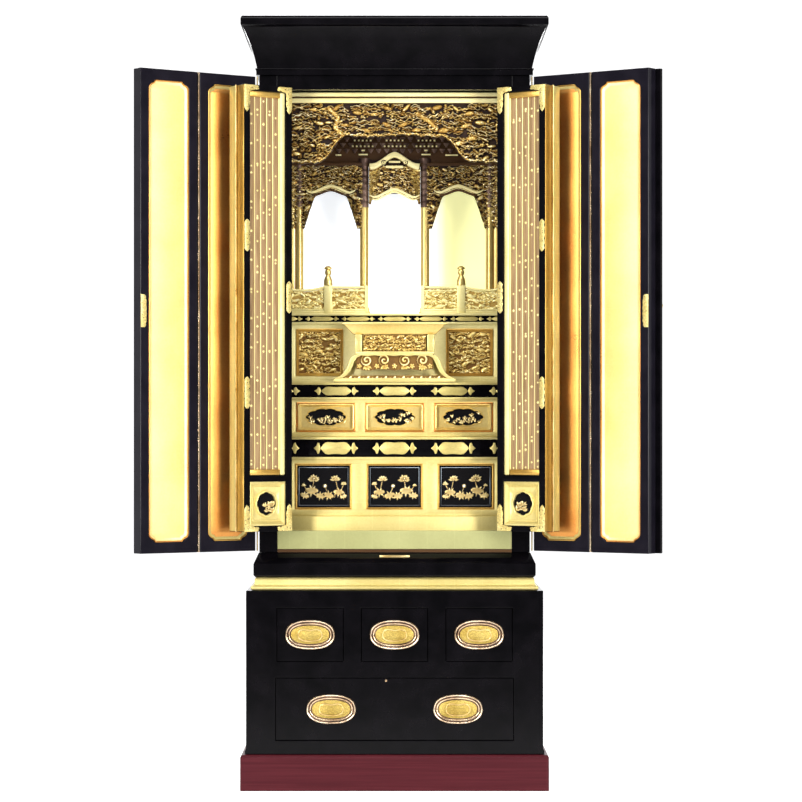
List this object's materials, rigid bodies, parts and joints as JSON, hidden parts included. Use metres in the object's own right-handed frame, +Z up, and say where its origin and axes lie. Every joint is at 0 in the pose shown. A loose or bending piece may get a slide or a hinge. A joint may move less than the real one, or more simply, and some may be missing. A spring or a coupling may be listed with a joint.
{
  "type": "gilded household altar cabinet",
  "caption": "Black-lacquered cabinet with open bi-fold doors, gilded lattice inner doors, a tiered and carved gold shrine inside, drawers with oval brass pulls and a maroon plinth.",
  "frame": {"origin": "middle of the plinth's underside", "axes": "+Z up, +X to the right seen from the front, +Y towards the back; the doors open towards -Y"},
  "size_m": [1.0366, 0.5943, 1.5427],
  "materials": {
    "black_lacquer": "deep gloss black lacquer on wood",
    "maroon_lacquer": "satin dark maroon lacquer with a faint grain",
    "brown_lacquer": "satin brown lacquer",
    "gold_leaf": "gold leaf on lacquered wood, satin",
    "toned_gold": "toned gold on carved wood",
    "brass": "bright cast and chased brass",
    "pale_screen": "pale painted backing, matt"
  },
  "bodies": {
    "cabinet": {"plinth": "maroon_lacquer", "base_cabinet": "black_lacquer", "gold_moulding": "gold_leaf", "sill": "black_lacquer", "side_left": "black_lacquer", "side_right": "black_lacquer", "back_board": "black_lacquer", "ceiling_board": "black_lacquer", "floor_board": "brown_lacquer", "threshold": "gold_leaf", "cornice": "black_lacquer", "hinge_left": "brass", "hinge_right": "brass", "lower_tier": "gold_leaf", "middle_tier": "gold_leaf", "upper_tier": "gold_leaf", "sutra_table": "gold_leaf", "balustrade_left": "gold_leaf", "balustrade_right": "gold_leaf", "column_left_inner": "toned_gold", "column_left_outer": "toned_gold", "column_right_inner": "toned_gold", "column_right_outer": "toned_gold", "arcade": "toned_gold", "bay_screen": "pale_screen", "transom": "toned_gold"},
    "door_left_near": {"door_left_near": "black_lacquer", "gold_panel_left_near": "gold_leaf", "edge_strip_left": "brass"},
    "door_left_far": {"door_left_far": "black_lacquer", "gold_panel_left_far": "gold_leaf", "lock_plate_left": "brass"},
    "inner_left_near": {"inner_frame_left_near": "black_lacquer", "inner_panel_left_near": "gold_leaf", "inner_hinge_left": "brass"},
    "inner_left_far": {"inner_frame_left_far": "black_lacquer", "inner_panel_left_far": "gold_leaf"},
    "door_right_near": {"door_right_near": "black_lacquer", "gold_panel_right_near": "gold_leaf", "edge_strip_right": "brass"},
    "door_right_far": {"door_right_far": "black_lacquer", "gold_panel_right_far": "gold_leaf", "lock_plate_right": "brass", "astragal": "black_lacquer", "door_knob": "brass"},
    "inner_right_near": {"inner_frame_right_near": "black_lacquer", "inner_panel_right_near": "gold_leaf", "inner_hinge_right": "brass"},
    "inner_right_far": {"inner_frame_right_far": "black_lacquer", "inner_panel_right_far": "gold_leaf"},
    "drawer_left": {"drawer_left": "black_lacquer", "pull_left": "brass"},
    "drawer_middle": {"drawer_middle": "black_lacquer", "pull_middle": "brass"},
    "drawer_right": {"drawer_right": "black_lacquer", "pull_right": "brass"},
    "drawer_wide": {"drawer_wide": "black_lacquer", "pull_wide_left": "brass", "pull_wide_right": "brass"}
  },
  "joints": [
    {"name": "door_left_swing", "type": "hinge", "parent": "cabinet", "child": "door_left_near", "pos_m": [-0.2745, -0.1925, 0.95], "axis": [0, 0, 1], "range_deg": [0, 143.8]},
    {"name": "door_left_fold", "type": "hinge", "parent": "door_left_near", "child": "door_left_far", "pos_m": [-0.40221, -0.25251, 0.95], "axis": [0, 0, -1], "range_deg": [0, 165]},
    {"name": "inner_left_swing", "type": "hinge", "parent": "cabinet", "child": "inner_left_near", "pos_m": [-0.2335, -0.19, 0.95], "axis": [0, 0, 1], "range_deg": [0, 143.8]},
    {"name": "inner_left_fold", "type": "hinge", "parent": "inner_left_near", "child": "inner_left_far", "pos_m": [-0.31256, -0.28008, 0.95], "axis": [0, 0, -1], "range_deg": [0, 180]},
    {"name": "door_right_swing", "type": "hinge", "parent": "cabinet", "child": "door_right_near", "pos_m": [0.2745, -0.1925, 0.95], "axis": [0, 0, -1], "range_deg": [0, 143.8]},
    {"name": "door_right_fold", "type": "hinge", "parent": "door_right_near", "child": "door_right_far", "pos_m": [0.40221, -0.25251, 0.95], "axis": [0, 0, 1], "range_deg": [0, 165]},
    {"name": "inner_right_swing", "type": "hinge", "parent": "cabinet", "child": "inner_right_near", "pos_m": [0.2335, -0.19, 0.95], "axis": [0, 0, -1], "range_deg": [0, 143.8]},
    {"name": "inner_right_fold", "type": "hinge", "parent": "inner_right_near", "child": "inner_right_far", "pos_m": [0.31256, -0.28008, 0.95], "axis": [0, 0, 1], "range_deg": [0, 180]},
    {"name": "drawer_left_slide", "type": "slide", "parent": "cabinet", "child": "drawer_left", "axis": [0, -1, 0], "range_m": [0, 0.26]},
    {"name": "drawer_middle_slide", "type": "slide", "parent": "cabinet", "child": "drawer_middle", "axis": [0, -1, 0], "range_m": [0, 0.26]},
    {"name": "drawer_right_slide", "type": "slide", "parent": "cabinet", "child": "drawer_right", "axis": [0, -1, 0], "range_m": [0, 0.26]},
    {"name": "drawer_wide_slide", "type": "slide", "parent": "cabinet", "child": "drawer_wide", "axis": [0, -1, 0], "range_m": [0, 0.26]}
  ],
  "couplings": [
    {"joint": "inner_left_swing", "follows": "door_left_swing", "ratio": 1},
    {"joint": "inner_left_fold", "follows": "door_left_swing", "ratio": 1.2517},
    {"joint": "inner_right_swing", "follows": "door_right_swing", "ratio": 1},
    {"joint": "inner_right_fold", "follows": "door_right_swing", "ratio": 1.2517}
  ]
}
